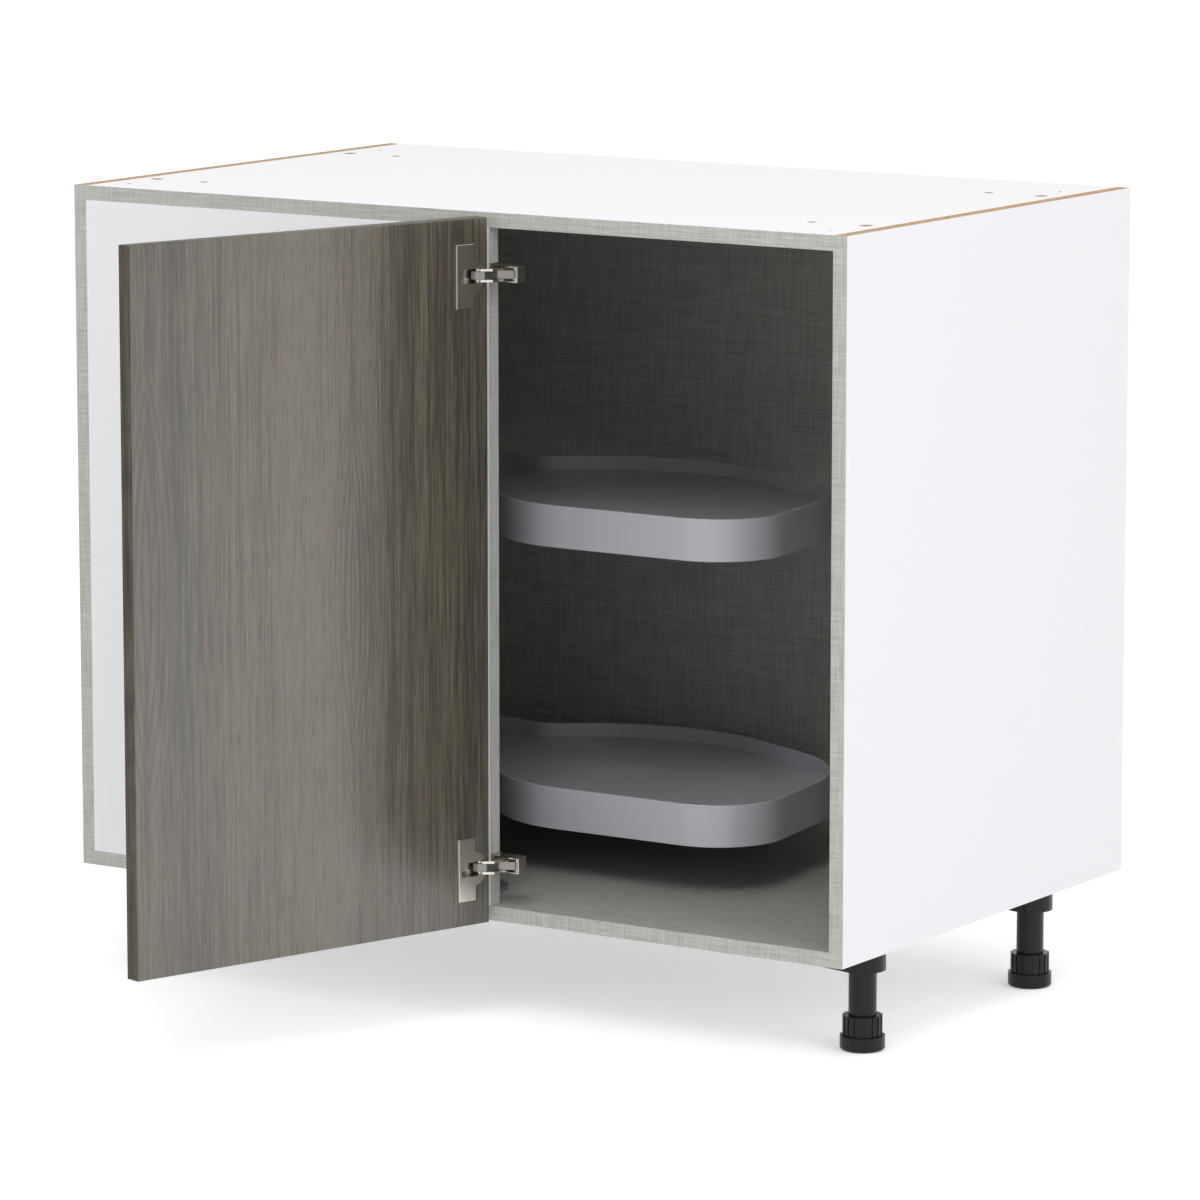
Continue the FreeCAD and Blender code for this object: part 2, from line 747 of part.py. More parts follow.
def open_linkage(angle, steps=360):
    # Opens the door in small steps, so that the linkage stays on the branch it closes on.
    fork_length = math.hypot(*fork_closed)
    bar_length = math.hypot(*bar_closed)
    fork_turn = heading(fork_closed)
    for step in range(1, steps + 1):
        between = turned(minus(bar_cup, fork_cup), angle * step / steps)
        base = minus(plus(fork_arm, between), bar_arm)
        reach = math.hypot(*base)
        spread = (bar_length**2 - fork_length**2 - reach**2) / (2 * fork_length * reach)
        half = math.degrees(math.acos(max(-1, min(1, spread))))
        choices = [heading(base) + half, heading(base) - half]
        steps_away = [(choice - fork_turn + 180) % 360 - 180 for choice in choices]
        fork_turn += min(steps_away, key=abs)
    fork_open = turned((fork_length, 0), fork_turn)
    corner = minus(plus(fork_arm, fork_open), turned(fork_cup, angle))
    bar_open = minus(plus(corner, turned(bar_cup, angle)), bar_arm)
    bar_turn = (heading(bar_open) - heading(bar_closed) + 180) % 360 - 180
    return corner, fork_turn - heading(fork_closed), bar_turn


open_angle = size("door_open_angle")
door_corner, fork_turn, bar_turn = open_linkage(open_angle)
edge_x = size("carcass_width") / 2 - size("board") - size("opening_width")
front_plane = -size("carcass_depth")
print("door corner", door_corner, "fork turn", fork_turn, "bar turn", bar_turn)


def seen_from_above(point):
    # From side and front to X and Y.
    return edge_x + point[0], front_plane - point[1]


def link_plan(arm_pivot, bends, cup_pivot, turn):
    # The pivot, bends and far eye of a link, turned from the shut door to the open one.
    shut = [minus(bend, arm_pivot) for bend in bends] + [cup_pivot]
    opened = [plus(arm_pivot, turned(point, turn)) for point in shut]
    return [seen_from_above(point) for point in [arm_pivot] + opened]


fork_bends = [pair(f"fork_{bend}", "side", "front") for bend in ("elbow", "hook")]
bar_bends = [pair(f"bar_{bend}", "side", "front") for bend in ("heel", "elbow", "hook")]
fork_points = link_plan(fork_arm, fork_bends, fork_closed, fork_turn)
bar_points = link_plan(bar_arm, bar_bends, bar_closed, bar_turn)
hinge_z = {
    "lower": "(leg_height + door_bottom_reveal + hinge_end_inset)",
    "upper": f"({top_z} - door_top_reveal - hinge_end_inset)",
}
fork_low = "(bar_half_height + link_gap)"
cheek_low = f"({fork_low} + fork_cheek + cheek_gap)"


def link_straps(points, low, height):
    # An eye at each end and straps over the bends between them, one level of a link.
    half_width = size("link_half_width")
    pieces = [upright(point, low, height, "eye_radius") for point in (points[0], points[-1])]
    for first, second in zip(points, points[1:]):
        pieces.append(raise_outline(belt_wire(first, half_width, second, half_width), low, height))
    return pieces


def upright(point, low, height, radius="pin_radius + running_clearance"):
    return rod([str(point[0]), str(point[1]), low], radius, height)


arm_pins = []
arm_screws = []
cup_pins = []
cup_screws = []
door_drills = []
edge_drills = []
arm_end = bar_arm[0] + size("eye_radius") + size("link_gap") + size("cheek_thickness")
for name, middle in hinge_z.items():
    bar_low = f"{middle} - bar_half_height"
    bar_tall = "2 * bar_half_height"
    bar_bore = upright(bar_points[0], bar_low, bar_tall)
    node(f"{name}_bar_link", cut(fuse(link_straps(bar_points, bar_low, bar_tall)), [bar_bore]))

    lows = {"below": f"{middle} - {fork_low} - fork_cheek", "above": f"{middle} + {fork_low}"}
    fork_tall = f"2 * ({fork_low} + fork_cheek)"
    straps = []
    for low in lows.values():
        straps += link_straps(fork_points, low, "fork_cheek")
    direction = minus(fork_points[1], fork_points[0])
    direction = tuple(part / math.hypot(*direction) for part in direction)
    web_ends = [
        plus(fork_points[0], tuple(part * size(f"fork_web_{end}") for part in direction))
        for end in ("start", "end")]
    web = belt_wire(web_ends[0], size("link_half_width"), web_ends[1], size("link_half_width"))
    straps.append(raise_outline(web, lows["below"], fork_tall))
    fork_bores = [
        upright(fork_points[0], lows["below"], fork_tall),
        upright(fork_points[-1], lows["below"], fork_tall)]
    node(f"{name}_fork_link", cut(fuse(straps), fork_bores))

    # The arm: a plate on the panel's edge and a channel whose two cheeks hold the pins. The channel
    # is closed behind and at its far end, and open at the front, where the links come out.
    nose = size("arm_nose")
    corner_round = size("arm_corner_round")
    plan = [
        (0, -size("board"), corner_round),
        (arm_end, -size("board"), size("arm_heel_round")),
        (arm_end, bar_arm[1] + nose, corner_round),
        (bar_arm[0] - nose, bar_arm[1] + nose, nose),
        (0, 0, corner_round),
    ]
    channel_plan = rounded_wire([(*seen_from_above(point[:2]), point[2]) for point in plan])
    arm_low = f"{middle} - {cheek_low} - cheek_thickness"
    arm_tall = f"2 * ({cheek_low} + cheek_thickness)"
    channel = raise_outline(channel_plan, arm_low, arm_tall)
    inside = box(
        [blind_edge, "-carcass_depth - bar_arm_front - arm_nose", f"{middle} - {cheek_low}"],
        f"{arm_end} - cheek_thickness", "board + bar_arm_front + arm_nose - arm_plate", f"2 * {cheek_low}")
    plate = box(
        [blind_edge, "-carcass_depth", f"{middle} - arm_plate_half_height"],
        "arm_plate", "board", "2 * arm_plate_half_height")
    seats = []
    for pivot in (fork_arm, bar_arm):
        at = [*map(str, seen_from_above(pivot)), arm_low]
        arm_pins.append(rod(at, "pin_radius", arm_tall))
        seats.append(rod(at, "pin_radius + pin_seat", arm_tall))
    for screw_y in ("arm_screw_inset - carcass_depth", "board - arm_screw_inset - carcass_depth"):
        # Countersunk flush with the plate, so that the links pass over them.
        head = rod([blind_edge, screw_y, middle], "flush_head_radius", "arm_plate", "+X")
        shank_at = [f"{blind_edge} + arm_plate", screw_y, middle]
        arm_screws.append(fuse([head, rod(shank_at, "screw_radius", "arm_plate + screw_grip", "-X")]))
        hole = rod(
            shank_at, "screw_radius + drill_clearance", "arm_plate + screw_grip + drill_clearance", "-X")
        head_hole = rod([blind_edge, screw_y, middle], "flush_head_radius", "arm_plate", "+X")
        seats += [hole, head_hole]
        edge_drills.append(hole)
    node(f"{name}_hinge_arm", cut(fuse([cut(channel, [inside]), plate]), seats))

    # The cup, in the door's own place: the hinge edge at x = 0, the inner face at y = 0. It is slotted
    # across for the links, and its flange is slotted on to let them lie down as the door shuts.
    cup_at = ["cup_edge_inset", "0", middle]
    rim_at = ["cup_edge_inset", "cup_rim_thickness", middle]
    mouth_at = ["cup_edge_inset", "cup_flange_thickness", middle]
    bowl = rod(cup_at, "cup_radius", "cup_depth", "-Y")
    rim = rod(rim_at, "cup_radius + cup_rim", "cup_rim_thickness", "-Y")
    flange_side = "cup_edge_inset + cup_flange_offset - cup_flange_width / 2"
    flange_plate = box(
        [flange_side, "0", f"{middle} - cup_flange_height / 2"],
        "cup_flange_width", "cup_flange_thickness", "cup_flange_height")
    flange = rounded_edges(
        flange_plate, size("cup_flange_round"), lambda edge: facing(edge, size("cup_flange_thickness")))
    slot_low = f"{middle} - cup_slot_half_height"
    hollow = rod(mouth_at, "cup_radius - cup_wall", "cup_flange_thickness + cup_depth - cup_wall", "-Y")
    band = box(
        ["cup_edge_inset - cup_radius", "-cup_depth", slot_low],
        "2 * cup_radius", "cup_depth + cup_flange_thickness", "2 * cup_slot_half_height")
    flange_slot = box(
        ["cup_edge_inset", "0", slot_low],
        "cup_flange_slot", "cup_flange_thickness", "2 * cup_slot_half_height")
    cup_holes = [common(hollow, band), flange_slot]
    for step in (-1, 1):
        seat = ["cup_edge_inset + cup_flange_offset", "0", f"{middle} + {step} * cup_screw_pitch / 2"]
        top = [seat[0], "cup_flange_thickness", seat[2]]
        head = rod(top, "flush_head_radius", "cup_flange_thickness", "-Y")
        shank = rod(seat, "screw_radius", "screw_grip", "-Y")
        cup_screws.append(fuse([head, shank]))
        cup_holes.append(rod(top, "flush_head_radius", "cup_flange_thickness", "-Y"))
        door_drills.append(drill(seat, "screw_grip", "0", "-Y"))
        pin_end = "(cup_slot_half_height + cup_pin_grip)"
        pin_low = f"{middle} + {fork_low}" if step > 0 else f"{middle} - {pin_end}"
        pin_at = ["fork_cup_side", "-fork_cup_deep", pin_low]
        pin_length = f"{pin_end} - {fork_low}"
        cup_pins.append(rod(pin_at, "pin_radius", pin_length))
        cup_holes.append(rod(pin_at, "pin_radius + pin_seat", pin_length))
    node(f"{name}_hinge_cup", cut(fuse([bowl, rim, flange]), cup_holes))
    door_drills.append(rod(cup_at, "cup_radius + drill_clearance", "cup_depth + drill_clearance", "-Y"))
node("hinge_arm_pins", group(arm_pins))
node("hinge_arm_screws", group(arm_screws))
node("hinge_cup_pins", group(cup_pins))
node("hinge_cup_screws", group(cup_screws))

slab = box(
    ["0", "-door_thickness", "leg_height + door_bottom_reveal"], "door_width", "door_thickness",
    "carcass_height - door_top_reveal - door_bottom_reveal")
softened = rounded_edges(slab, size("door_round"), lambda edge: True)
node("door_panel", cut(softened, door_drills))
door_place = FreeCAD.Placement(
    FreeCAD.Vector(*seen_from_above(door_corner), 0),
    FreeCAD.Rotation(FreeCAD.Vector(0, 0, 1), -open_angle))
door_nodes = ("door_panel", "lower_hinge_cup", "upper_hinge_cup", "hinge_cup_pins", "hinge_cup_screws")
for thing in nodes:
    if thing.Label in door_nodes:
        thing.Placement = door_place

# Boards, drilled for the fittings above.
boards = {
    "left_gable": box(
        ["-carcass_width / 2", "tape - carcass_depth", "leg_height"], "board", "carcass_depth - tape",
        "carcass_height"),
    "right_gable": box(
        [half_inside, "tape - carcass_depth", "leg_height"], "board", "carcass_depth - tape",
        "carcass_height"),
    "top": box(
        [f"-{half_inside}", "tape - carcass_depth", lid_z], f"2 * {half_inside}", "carcass_depth - tape",
        "board"),
    "bottom": box(
        [f"-{half_inside}", "tape - carcass_depth", "leg_height"], f"2 * {half_inside}",
        "carcass_depth - tape", "board"),
    "back": box(
        [f"-{half_inside}", "-back_board", floor_z], f"2 * {half_inside}", "back_board", inside_height),
    "blind": box(
        [f"-{half_inside}", "-carcass_depth", floor_z], f"{blind_edge} + {half_inside} - tape", "board",
        inside_height),
}
drillings["blind"] += edge_drills
for name, board in boards.items():
    label = name if name.endswith("gable") else f"{name}_panel"
    node(label, cut(board, drillings[name]))
tapes = [
    box(["-carcass_width / 2", "-carcass_depth", "leg_height"], "board", "tape", "carcass_height"),
    box([half_inside, "-carcass_depth", "leg_height"], "board", "tape", "carcass_height"),
    box([f"-{half_inside}", "-carcass_depth", lid_z], f"2 * {half_inside}", "tape", "board"),
    box([f"-{half_inside}", "-carcass_depth", "leg_height"], f"2 * {half_inside}", "tape", "board"),
    cut(
        box([f"{blind_edge} - tape", "-carcass_depth", floor_z], "tape", "board", inside_height),
        edge_drills),
]
node("edge_tape", group(tapes))
node("cam_locks", group(cams))
node("cam_bolts", group(bolts))
node("panel_dowels", group(dowels))

doc.recompute()
faults = [
    thing.Label for thing in doc.Objects
    if "Invalid" in thing.State or "Error" in thing.State]
for thing in nodes:
    if thing.Shape.isNull() or not thing.Shape.isValid():
        faults.append(thing.Label)
if faults:
    raise SystemExit(f"not built: {faults}")
os.makedirs("parts", exist_ok=True)
for thing in nodes:
    thing.Shape.exportStep(f"parts/{thing.Label}.step")
print(len(nodes), "nodes")
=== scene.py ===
import json
import math

import bpy
import bmesh
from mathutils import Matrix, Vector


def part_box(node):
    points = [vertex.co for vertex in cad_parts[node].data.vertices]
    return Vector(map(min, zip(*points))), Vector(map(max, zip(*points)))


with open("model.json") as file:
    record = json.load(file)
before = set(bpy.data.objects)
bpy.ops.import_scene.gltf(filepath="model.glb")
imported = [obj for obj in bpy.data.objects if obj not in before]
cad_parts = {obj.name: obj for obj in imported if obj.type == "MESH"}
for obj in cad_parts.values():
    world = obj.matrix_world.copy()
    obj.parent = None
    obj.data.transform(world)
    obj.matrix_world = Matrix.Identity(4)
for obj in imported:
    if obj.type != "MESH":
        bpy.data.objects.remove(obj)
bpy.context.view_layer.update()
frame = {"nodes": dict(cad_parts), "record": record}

nodes = frame["nodes"]
print("stage: frame loaded with", len(nodes), "nodes")

xAxis, yAxis, zAxis = range(3)
faceLimit = 0.7  # how squarely a surface looks along an axis to count as that face
commonShine = 0.5  # the shader's own specular level


class Tree:
    def __init__(self, name, tree=None, shader="Principled BSDF"):
        if tree is None:
            self.material = bpy.data.materials.new(name)
            self.material.use_nodes = True
            tree = self.material.node_tree
        self.tree = tree
        self.shader = tree.nodes[shader]

    def add(self, kind, **settings):
        made = self.tree.nodes.new("ShaderNode" + kind)
        for key, value in settings.items():
            setattr(made, key, value)
        return made

    def put(self, socket, value):
        if hasattr(value, "is_output"):
            self.tree.links.new(value, socket)
        else:
            socket.default_value = value

    def set(self, name, value):
        self.put(self.shader.inputs[name], value)

    def math(self, operation, first, second=0.0):
        made = self.add("Math", operation=operation)
        self.put(made.inputs[0], first)
        self.put(made.inputs[1], second)
        return made.outputs[0]

    def addShare(self, first, second, share):
        return self.math("ADD", first, self.math("MULTIPLY", second, share))

    def mix(self, factor, first, second):
        made = self.add("Mix", data_type="RGBA")
        self.put(made.inputs[0], factor)
        self.put(made.inputs[6], first)  # the node's sockets for colours
        self.put(made.inputs[7], second)
        return made.outputs[2]

    def blend(self, factor, first, second):
        made = self.add("Mix", data_type="FLOAT")
        self.put(made.inputs[0], factor)
        self.put(made.inputs[2], first)  # the node's sockets for numbers
        self.put(made.inputs[3], second)
        return made.outputs[0]

    def place(self, scale, turn=0.0, centre=(0.0, 0.0, 0.0)):
        coords = self.add("TexCoord")
        mapping = self.add("Mapping")
        self.put(mapping.inputs["Vector"], coords.outputs["Object"])
        mapping.inputs["Rotation"].default_value = (0.0, 0.0, math.radians(turn))
        mapping.inputs["Location"].default_value = tuple(-part for part in centre)
        stretch = self.add("VectorMath", operation="MULTIPLY")
        self.put(stretch.inputs[0], mapping.outputs["Vector"])
        stretch.inputs[1].default_value = scale
        return stretch.outputs[0]

    def split(self, vector):
        made = self.add("SeparateXYZ")
        self.put(made.inputs[0], vector)
        return made.outputs

    def noise(self, scale, detail=2.0, turn=0.0, warp=0.0):
        made = self.add("TexNoise")
        self.put(made.inputs["Vector"], self.place(scale, turn))
        made.inputs["Scale"].default_value = 1.0
        made.inputs["Detail"].default_value = detail
        made.inputs["Distortion"].default_value = warp
        return made.outputs[0]

    def spread(self, value, low, high):
        made = self.add("MapRange")
        self.put(made.inputs["Value"], value)
        made.inputs["From Min"].default_value = low
        made.inputs["From Max"].default_value = high
        return made.outputs[0]

    def facing(self, axis, sign):
        normal = self.split(self.add("TexCoord").outputs["Normal"])
        return self.math("GREATER_THAN", self.math("MULTIPLY", normal[axis], float(sign)), faceLimit)

    def bump(self, height, strength, distance):
        made = self.add("Bump")
        made.inputs["Strength"].default_value = strength
        made.inputs["Distance"].default_value = distance
        self.put(made.inputs["Height"], height)
        self.put(self.shader.inputs["Normal"], made.outputs[0])


def rgba(colour):
    return (*colour, 1.0)


# plastics, metals and dowels, by the record's material slots
finishSettings = {
    "zinc": {"colour": (0.44, 0.31, 0.18), "rough": 0.5, "metal": 1.0, "grain": 0.3},
    "beech": {"colour": (0.48, 0.32, 0.16), "rough": 0.7, "grain": 0.2},
    "leg_plastic": {
        "colour": (0.006, 0.006, 0.0063), "rough": 0.26, "shine": 0.3, "grain": 0.12, "bump": 0.15},
    "screw_steel": {"colour": (0.62, 0.62, 0.62), "rough": 0.3, "metal": 1.0, "grain": 0.1},
    "column_steel": {"colour": (0.8, 0.8, 0.82), "rough": 0.12, "metal": 1.0, "grain": 0.04},
    "fitting_plastic": {"colour": (0.16, 0.16, 0.17), "rough": 0.45, "grain": 0.08},
    "tray_plastic": {"colour": (0.5, 0.495, 0.54), "rough": 0.28, "grain": 0.05, "bump": 0.1},
    "arm_steel": {"colour": (0.24, 0.24, 0.26), "rough": 0.45, "grain": 0.08},  # painted
    "bush_plastic": {"colour": (0.05, 0.05, 0.055), "rough": 0.5, "grain": 0.08},
    "hinge_nickel": {"colour": (0.70, 0.67, 0.60), "rough": 0.2, "metal": 1.0, "grain": 0.06},
    # painted shade: a darker copy of the hinge metal, for the bar links in the arm's shade
    "bar_steel": {"colour": (0.26, 0.25, 0.235), "rough": 0.32, "metal": 1.0, "grain": 0.06},
}
speckSettings = {"scale": 900.0, "depth": 0.0001}  # specks per metre, and their depth on moulded pieces


def camelName(slot):
    first, *others = slot.split("_")
    return first + "".join(word.capitalize() for word in others)


def plainFinish(slot, settings):
    # one colour with fine specks, in its shade and, on moulded pieces, in its surface
    made = Tree(camelName(slot))
    speck = made.noise((speckSettings["scale"],) * 3)
    shade = tuple(part * (1.0 - settings["grain"]) for part in settings["colour"])
    made.set("Base Color", made.mix(speck, rgba(shade), rgba(settings["colour"])))
    made.set("Metallic", settings.get("metal", 0.0))
    made.set("Roughness", settings["rough"])
    made.set("Specular IOR Level", settings.get("shine", commonShine))
    if "bump" in settings:
        made.bump(speck, settings["bump"], speckSettings["depth"])
    return made.material


linenSettings = {
    "light": (0.51, 0.52, 0.48),
    "dark": (0.33, 0.338, 0.31),
    "rough": 0.5,
}
tapeSettings = {
    "light": (0.56, 0.57, 0.53),
    "dark": (0.37, 0.38, 0.348),
    "rough": 0.45,
}
threadSettings = {
    "along": 22.0,  # noise per metre along a thread
    "across": 720.0,  # and across it
    "detail": 1.5,
    "range": (0.36, 0.64),  # what becomes dark and light
}


def weave(made, axes):
    # threads along two axes of the panel, as the mean of two stretched noises
    threads = []
    for axis in axes:
        scale = [threadSettings["across"]] * 3
        scale[axis] = threadSettings["along"]
        threads.append(made.noise(tuple(scale), threadSettings["detail"]))
    both = made.math("MULTIPLY", made.math("ADD", *threads), 1.0 / len(threads))
    return made.spread(both, *threadSettings["range"])


def clothColour(made, threads, settings):
    return made.mix(threads, rgba(settings["dark"]), rgba(settings["light"]))


def tapeFinish():
    made = Tree("edgeTape")
    front = clothColour(made, weave(made, (xAxis, zAxis)), tapeSettings)
    side = clothColour(made, weave(made, (yAxis, zAxis)), tapeSettings)
    made.set("Base Color", made.mix(made.facing(xAxis, 1), front, side))
    made.set("Roughness", tapeSettings["rough"])
    return made.material


boardSettings = {
    "white": (0.865, 0.865, 0.895),
    "whiteShade": (0.852, 0.852, 0.882),  # painted shade in the pits of the pressed surface
    "whiteRough": (0.38, 0.47),  # in the pits and between them
    "pebble": 520.0,  # pits per metre
    "raw": (0.60, 0.40, 0.22),  # particleboard at cut edges
    "rawDark": (0.36, 0.20, 0.09),
    "rawScale": 240.0,  # chips per metre
    "rawDetail": 3.0,
    "rawRange": (0.35, 0.65),
    "rawRough": 0.85,
    "bump": 0.12,
    "depth": 0.00012,
}


def boardFinish(name, axis, outward, settings):
    # white on the outer face, linen on the inner one and raw board at the edges
    made = Tree(name)
    chips = made.noise((settings["rawScale"],) * 3, settings["rawDetail"])
    height = made.spread(chips, *settings["rawRange"])
    colour = made.mix(height, rgba(settings["rawDark"]), rgba(settings["raw"]))
    rough = settings["rawRough"]
    pebble = made.noise((settings["pebble"],) * 3)
    threads = weave(made, [other for other in (xAxis, yAxis, zAxis) if other != axis])
    white = {
        "sign": outward,
        # painted shade in the pits, where the bump is lowest
        "colour": made.mix(pebble, rgba(settings["whiteShade"]), rgba(settings["white"])),
        "rough": made.blend(pebble, *settings["whiteRough"]),
        "height": pebble,
    }
    linen = {
        "sign": -outward,
        "colour": clothColour(made, threads, linenSettings),
        "rough": linenSettings["rough"],
        "height": threads,
    }
    for face in (white, linen):
        mask = made.facing(axis, face["sign"])
        colour = made.mix(mask, colour, face["colour"])
        rough = made.blend(mask, rough, face["rough"])
        height = made.blend(mask, height, face["height"])
    made.set("Base Color", colour)
    made.set("Roughness", rough)
    made.bump(height, settings["bump"], settings["depth"])
    return made.material


doorSettings = {
    "turn": 107.8,  # degrees that the door stands open
    "thickness": 0.019,
    "light": (0.116, 0.104, 0.073),
    "warm": (0.130, 0.102, 0.068),
    "mid": (0.036, 0.030, 0.019),
    "dark": (0.020, 0.016, 0.011),
    "rough": 0.5,
    "shine": 0.25,
    "coatRough": 0.2,  # lacquer on the two faces, and none on the edge banding
    "coatIor": 1.85,
    "noises": {  # per metre across the grain, through the door and along the grain
        "wander": {"scale": (9.0, 9.0, 1.3), "detail": 2.0},
        "broad": {"scale": (26.0, 26.0, 0.8), "detail": 2.0, "warp": 0.3},
        "streak": {"scale": (165.0, 165.0, 2.4), "detail": 3.0, "warp": 0.2},
        "fibre": {"scale": (600.0, 600.0, 12.0), "detail": 4.0},
        "pores": {"scale": (900.0, 900.0, 38.0), "detail": 1.0},
    },
    "broadShare": 0.4,  # beside the fibre's share of 1
    "streakShare": 0.6,
    "toneRange": (0.85, 1.22),
    "warmRange": (0.4, 0.6),
    "bandSide": 0.235,  # a painted lighter band, standing in for light on the door: its middle, from the hinge edge, and half its width
    "bandWidth": 0.16,
    "bandWander": 0.06,
    "bandShare": 0.30,
    "arches": [  # how far from the hinge edge, how high, half the width and half the height
        (0.178, 0.485, 0.026, 0.21),
        (0.440, 0.520, 0.034, 0.24),
    ],
    "archWander": 0.5,
    "archStreak": 0.12,
    "archRings": 4.0,
    "ringRange": (0.15, 0.5),
    "archFade": (1.7, 0.6),  # none left, and full, in half widths
    "archDepth": 0.6,
    "poreRange": (0.56, 0.68),
    "poreDepth": 0.6,
    "bump": 0.1,
    "depth": 0.0002,
}


def hingeEdge(settings):
    # the door's hinge edge and inner face, in coordinates turned with the door
    cornerX, cornerY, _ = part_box("door_panel")[1]
    angle = math.radians(settings["turn"])
    cornerY += settings["thickness"] * math.cos(angle)
    side = math.cos(angle) * cornerX - math.sin(angle) * cornerY
    face = math.sin(angle) * cornerX + math.cos(angle) * cornerY
    return side, face


def paintedLightBand(made, settings, noises):
    # painted light: a lighter band down the middle of the door, which leaves the side by the hinge
    # darker as painted shade
    side, face = hingeEdge(settings)
    middle = (side + settings["bandSide"], face, 0.0)
    across = made.split(made.place((1.0, 1.0, 1.0), settings["turn"], middle))[0]
    away = made.addShare(made.math("ABSOLUTE", across), noises["wander"], settings["bandWander"])
    return made.spread(away, settings["bandWidth"], 0.0)


def archShade(made, settings, noises, arch):
    # pointed arches, nested, that fade into the straight grain
    side, face = hingeEdge(settings)
    away, rise, width, length = arch
    spans = (1.0 / width, 0.0, 1.0 / length)
    spot = made.split(made.place(spans, settings["turn"], (side + away, face, rise)))
    reach = made.math("ADD", made.math("ABSOLUTE", spot[0]), made.math("MULTIPLY", spot[2], spot[2]))
    bent = made.addShare(reach, noises["wander"], settings["archWander"])
    bent = made.addShare(bent, noises["streak"], settings["archStreak"])
    rings = made.math("FRACT", made.math("MULTIPLY", bent, settings["archRings"]))
    fromMiddle = made.math("ABSOLUTE", made.math("SUBTRACT", rings, 0.5))
    lines = made.spread(fromMiddle, *settings["ringRange"])
    faded = made.math("MULTIPLY", lines, made.spread(reach, *settings["archFade"]))
    return made.math("MULTIPLY", faded, settings["archDepth"])


def doorFinish(settings):
    made = Tree("doorGrain")
    noises = {}
    for name, values in settings["noises"].items():
        noises[name] = made.noise(turn=settings["turn"], **values)
    tone = made.addShare(noises["fibre"], noises["broad"], settings["broadShare"])
    tone = made.addShare(tone, noises["streak"], settings["streakShare"])
    # painted light on the door's middle, mixed into the grain's tone
    tone = made.addShare(tone, paintedLightBand(made, settings, noises), settings["bandShare"])
    warmth = made.spread(noises["streak"], *settings["warmRange"])
    light = made.mix(warmth, rgba(settings["warm"]), rgba(settings["light"]))
    colour = made.mix(made.spread(tone, *settings["toneRange"]), rgba(settings["mid"]), light)
    for arch in settings["arches"]:
        colour = made.mix(archShade(made, settings, noises, arch), colour, rgba(settings["dark"]))
    dashes = made.spread(noises["pores"], *settings["poreRange"])
    dashes = made.math("MULTIPLY", dashes, settings["poreDepth"])
    made.set("Base Color", made.mix(dashes, colour, rgba(settings["dark"])))
    made.set("Roughness", settings["rough"])
    made.set("Specular IOR Level", settings["shine"])
    made.set("Coat Weight", made.math("MAXIMUM", made.facing(xAxis, 1), made.facing(xAxis, -1)))
    made.set("Coat Roughness", settings["coatRough"])
    made.set("Coat IOR", settings["coatIor"])
    made.bump(noises["fibre"], settings["bump"], settings["depth"])
    return made.material


boardFaces = {  # the axis that each board lies across, and which way along it is outward
    "left_gable": (xAxis, -1),
    "right_gable": (xAxis, 1),
    "top_panel": (zAxis, 1),
    "bottom_panel": (zAxis, -1),
    "back_panel": (yAxis, 1),
    "blind_panel": (yAxis, -1),
}
boards = {}
for name, (axis, outward) in boardFaces.items():
    boards[name] = boardFinish(camelName(name), axis, outward, boardSettings)
looks = {slot: plainFinish(slot, settings) for slot, settings in finishSettings.items()}
looks["edge_tape"] = tapeFinish()
looks["door_board"] = doorFinish(doorSettings)
slotOf = {entry["node"]: entry["material_slot"] for entry in frame["record"]["subparts"]}
slotOf["hinge_cup_screws"] = "hinge_nickel"
for level in ("upper", "lower"):
    slotOf[level + "_bar_link"] = "bar_steel"  # painted shade: darker than the rest of the hinge, standing in for the shade inside the arm
for name, piece in nodes.items():
    look = boards[name] if name in boards else looks[slotOf[name]]
    for materialSlot in piece.material_slots:
        materialSlot.material = look
print("stage: materials set")

floorSettings = {
    "size": 30.0,
    "colour": (0.92, 0.92, 0.92),
    "rough": 0.9,
    "lift": 0.38,  # its own light, in view and in reflections
}
worldSettings = {
    "colour": (1.0, 1.0, 1.0),
    "seen": 1.0,  # strength of the backdrop in view and in reflections
    "fill": 0.72,  # strength of its light on matt surfaces
}
lampSettings = {
    "key": {"place": (1.9, -4.1, 4.3), "aim": (0.2, -0.4, 0.5), "size": 1.8, "power": 70.0},
    "side": {"place": (4.6, -1.4, 3.0), "aim": (0.0, -0.5, 0.5), "size": 2.6, "power": 42.0},
    "top": {"place": (-0.6, -0.8, 4.6), "aim": (0.0, -0.3, 0.6), "size": 3.2, "power": 22.0},
}
cameraSettings = {
    "place": (3.73662, -6.02396, 1.54143),  # metres, in the part's frame
    "tilt": 9.3534,  # degrees below the horizon
    "turn": 33.1545,  # degrees round Z
    "lens": 187.197,
    "sensor": 36.0,
    "reach": 100.0,  # metres
}


def addObject(name, data):
    made = bpy.data.objects.new(name, data)
    bpy.context.scene.collection.objects.link(made)
    return made


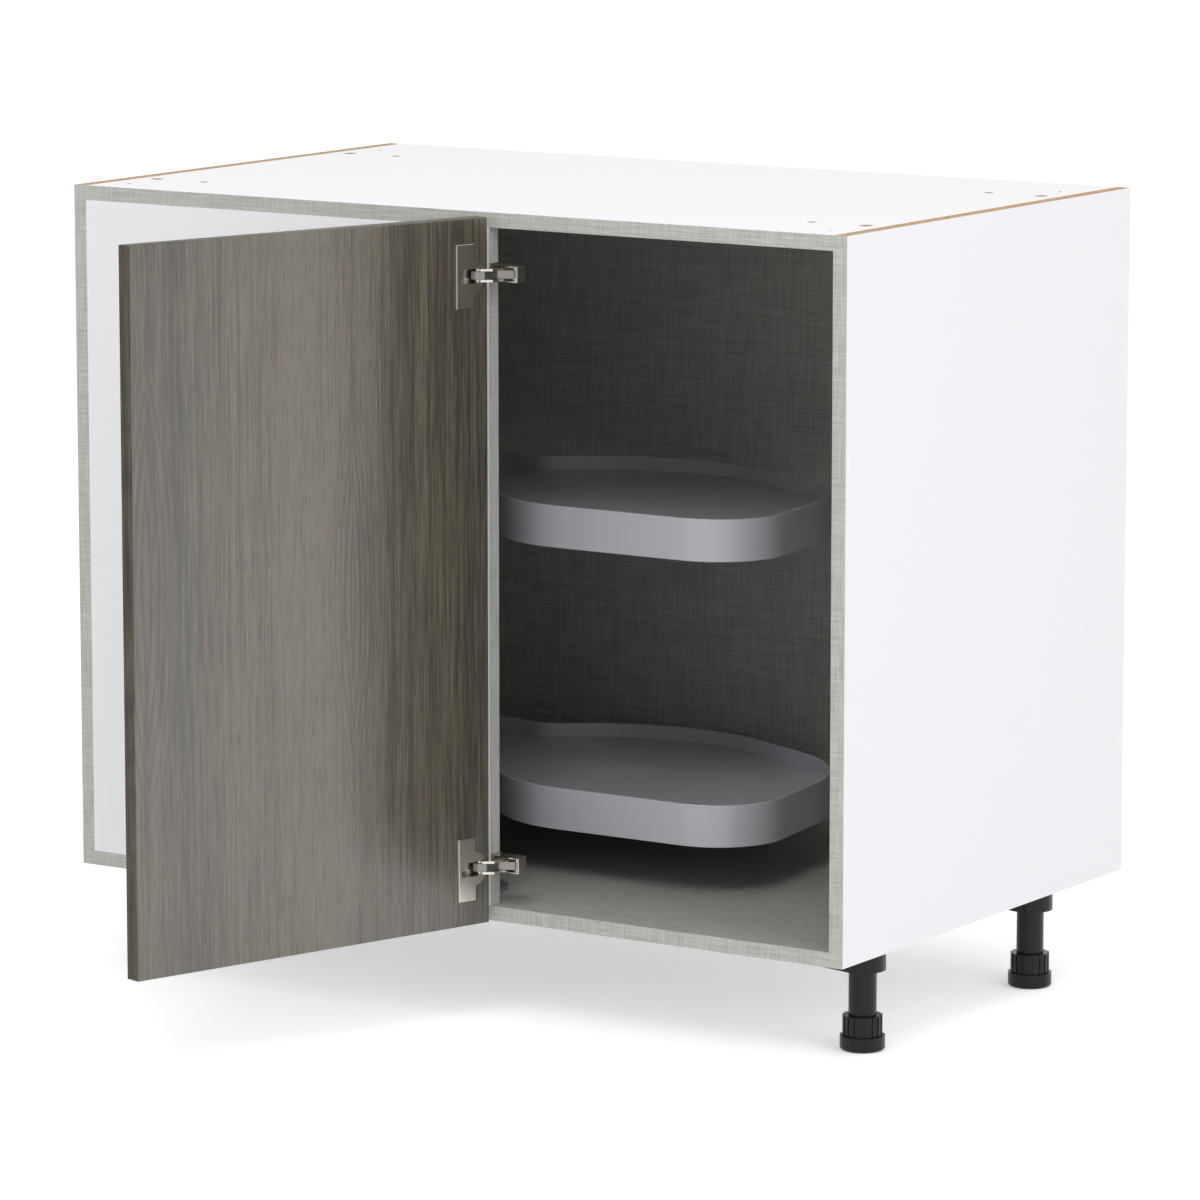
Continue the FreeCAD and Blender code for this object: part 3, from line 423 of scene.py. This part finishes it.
def seenDirectly(made):
    # 1 where the eye, a mirror or glass looks at a surface, 0 where matt surfaces gather its light
    path = made.add("LightPath")
    mirrored = made.math("MAXIMUM", path.outputs["Is Glossy Ray"], path.outputs["Is Transmission Ray"])
    return made.math("MAXIMUM", path.outputs["Is Camera Ray"], mirrored)


def addFloor(settings):
    mesh = bpy.data.meshes.new("floor")
    shape = bmesh.new()
    bmesh.ops.create_grid(shape, x_segments=1, y_segments=1, size=settings["size"])
    shape.to_mesh(mesh)
    shape.free()
    floor = addObject("floor", mesh)
    made = Tree("floorPaint")
    made.set("Base Color", rgba(settings["colour"]))
    made.set("Roughness", settings["rough"])
    made.set("Emission Color", rgba(settings["colour"]))
    made.set("Emission Strength", made.math("MULTIPLY", seenDirectly(made), settings["lift"]))
    mesh.materials.append(made.material)


def addLamp(name, settings):
    data = bpy.data.lights.new(name, "AREA")
    data.size = settings["size"]
    data.energy = settings["power"]
    lamp = addObject(name, data)
    lamp.location = settings["place"]
    awayX, awayY, awayZ = (end - start for end, start in zip(settings["place"], settings["aim"]))
    tilt = math.atan2(math.hypot(awayX, awayY), awayZ)
    lamp.rotation_euler = (tilt, 0.0, math.atan2(awayX, -awayY))


def addWorld(settings):
    world = bpy.data.worlds.new("studio")
    world.use_nodes = True
    made = Tree("studioLight", world.node_tree, "Background")
    made.set("Color", rgba(settings["colour"]))
    made.set("Strength", made.blend(seenDirectly(made), settings["fill"], settings["seen"]))
    bpy.context.scene.world = world


def addCamera(settings):
    data = bpy.data.cameras.new("camera")
    data.lens = settings["lens"]
    data.sensor_width = settings["sensor"]
    data.clip_end = settings["reach"]
    camera = addObject("camera", data)
    camera.location = settings["place"]
    camera.rotation_euler = (math.radians(90.0 - settings["tilt"]), 0.0, math.radians(settings["turn"]))
    bpy.context.scene.camera = camera


addFloor(floorSettings)
for name, settings in lampSettings.items():
    addLamp(name + "Light", settings)
addWorld(worldSettings)
addCamera(cameraSettings)
bpy.context.scene.view_settings.view_transform = "Standard"
print("stage: floor, lights and camera set")
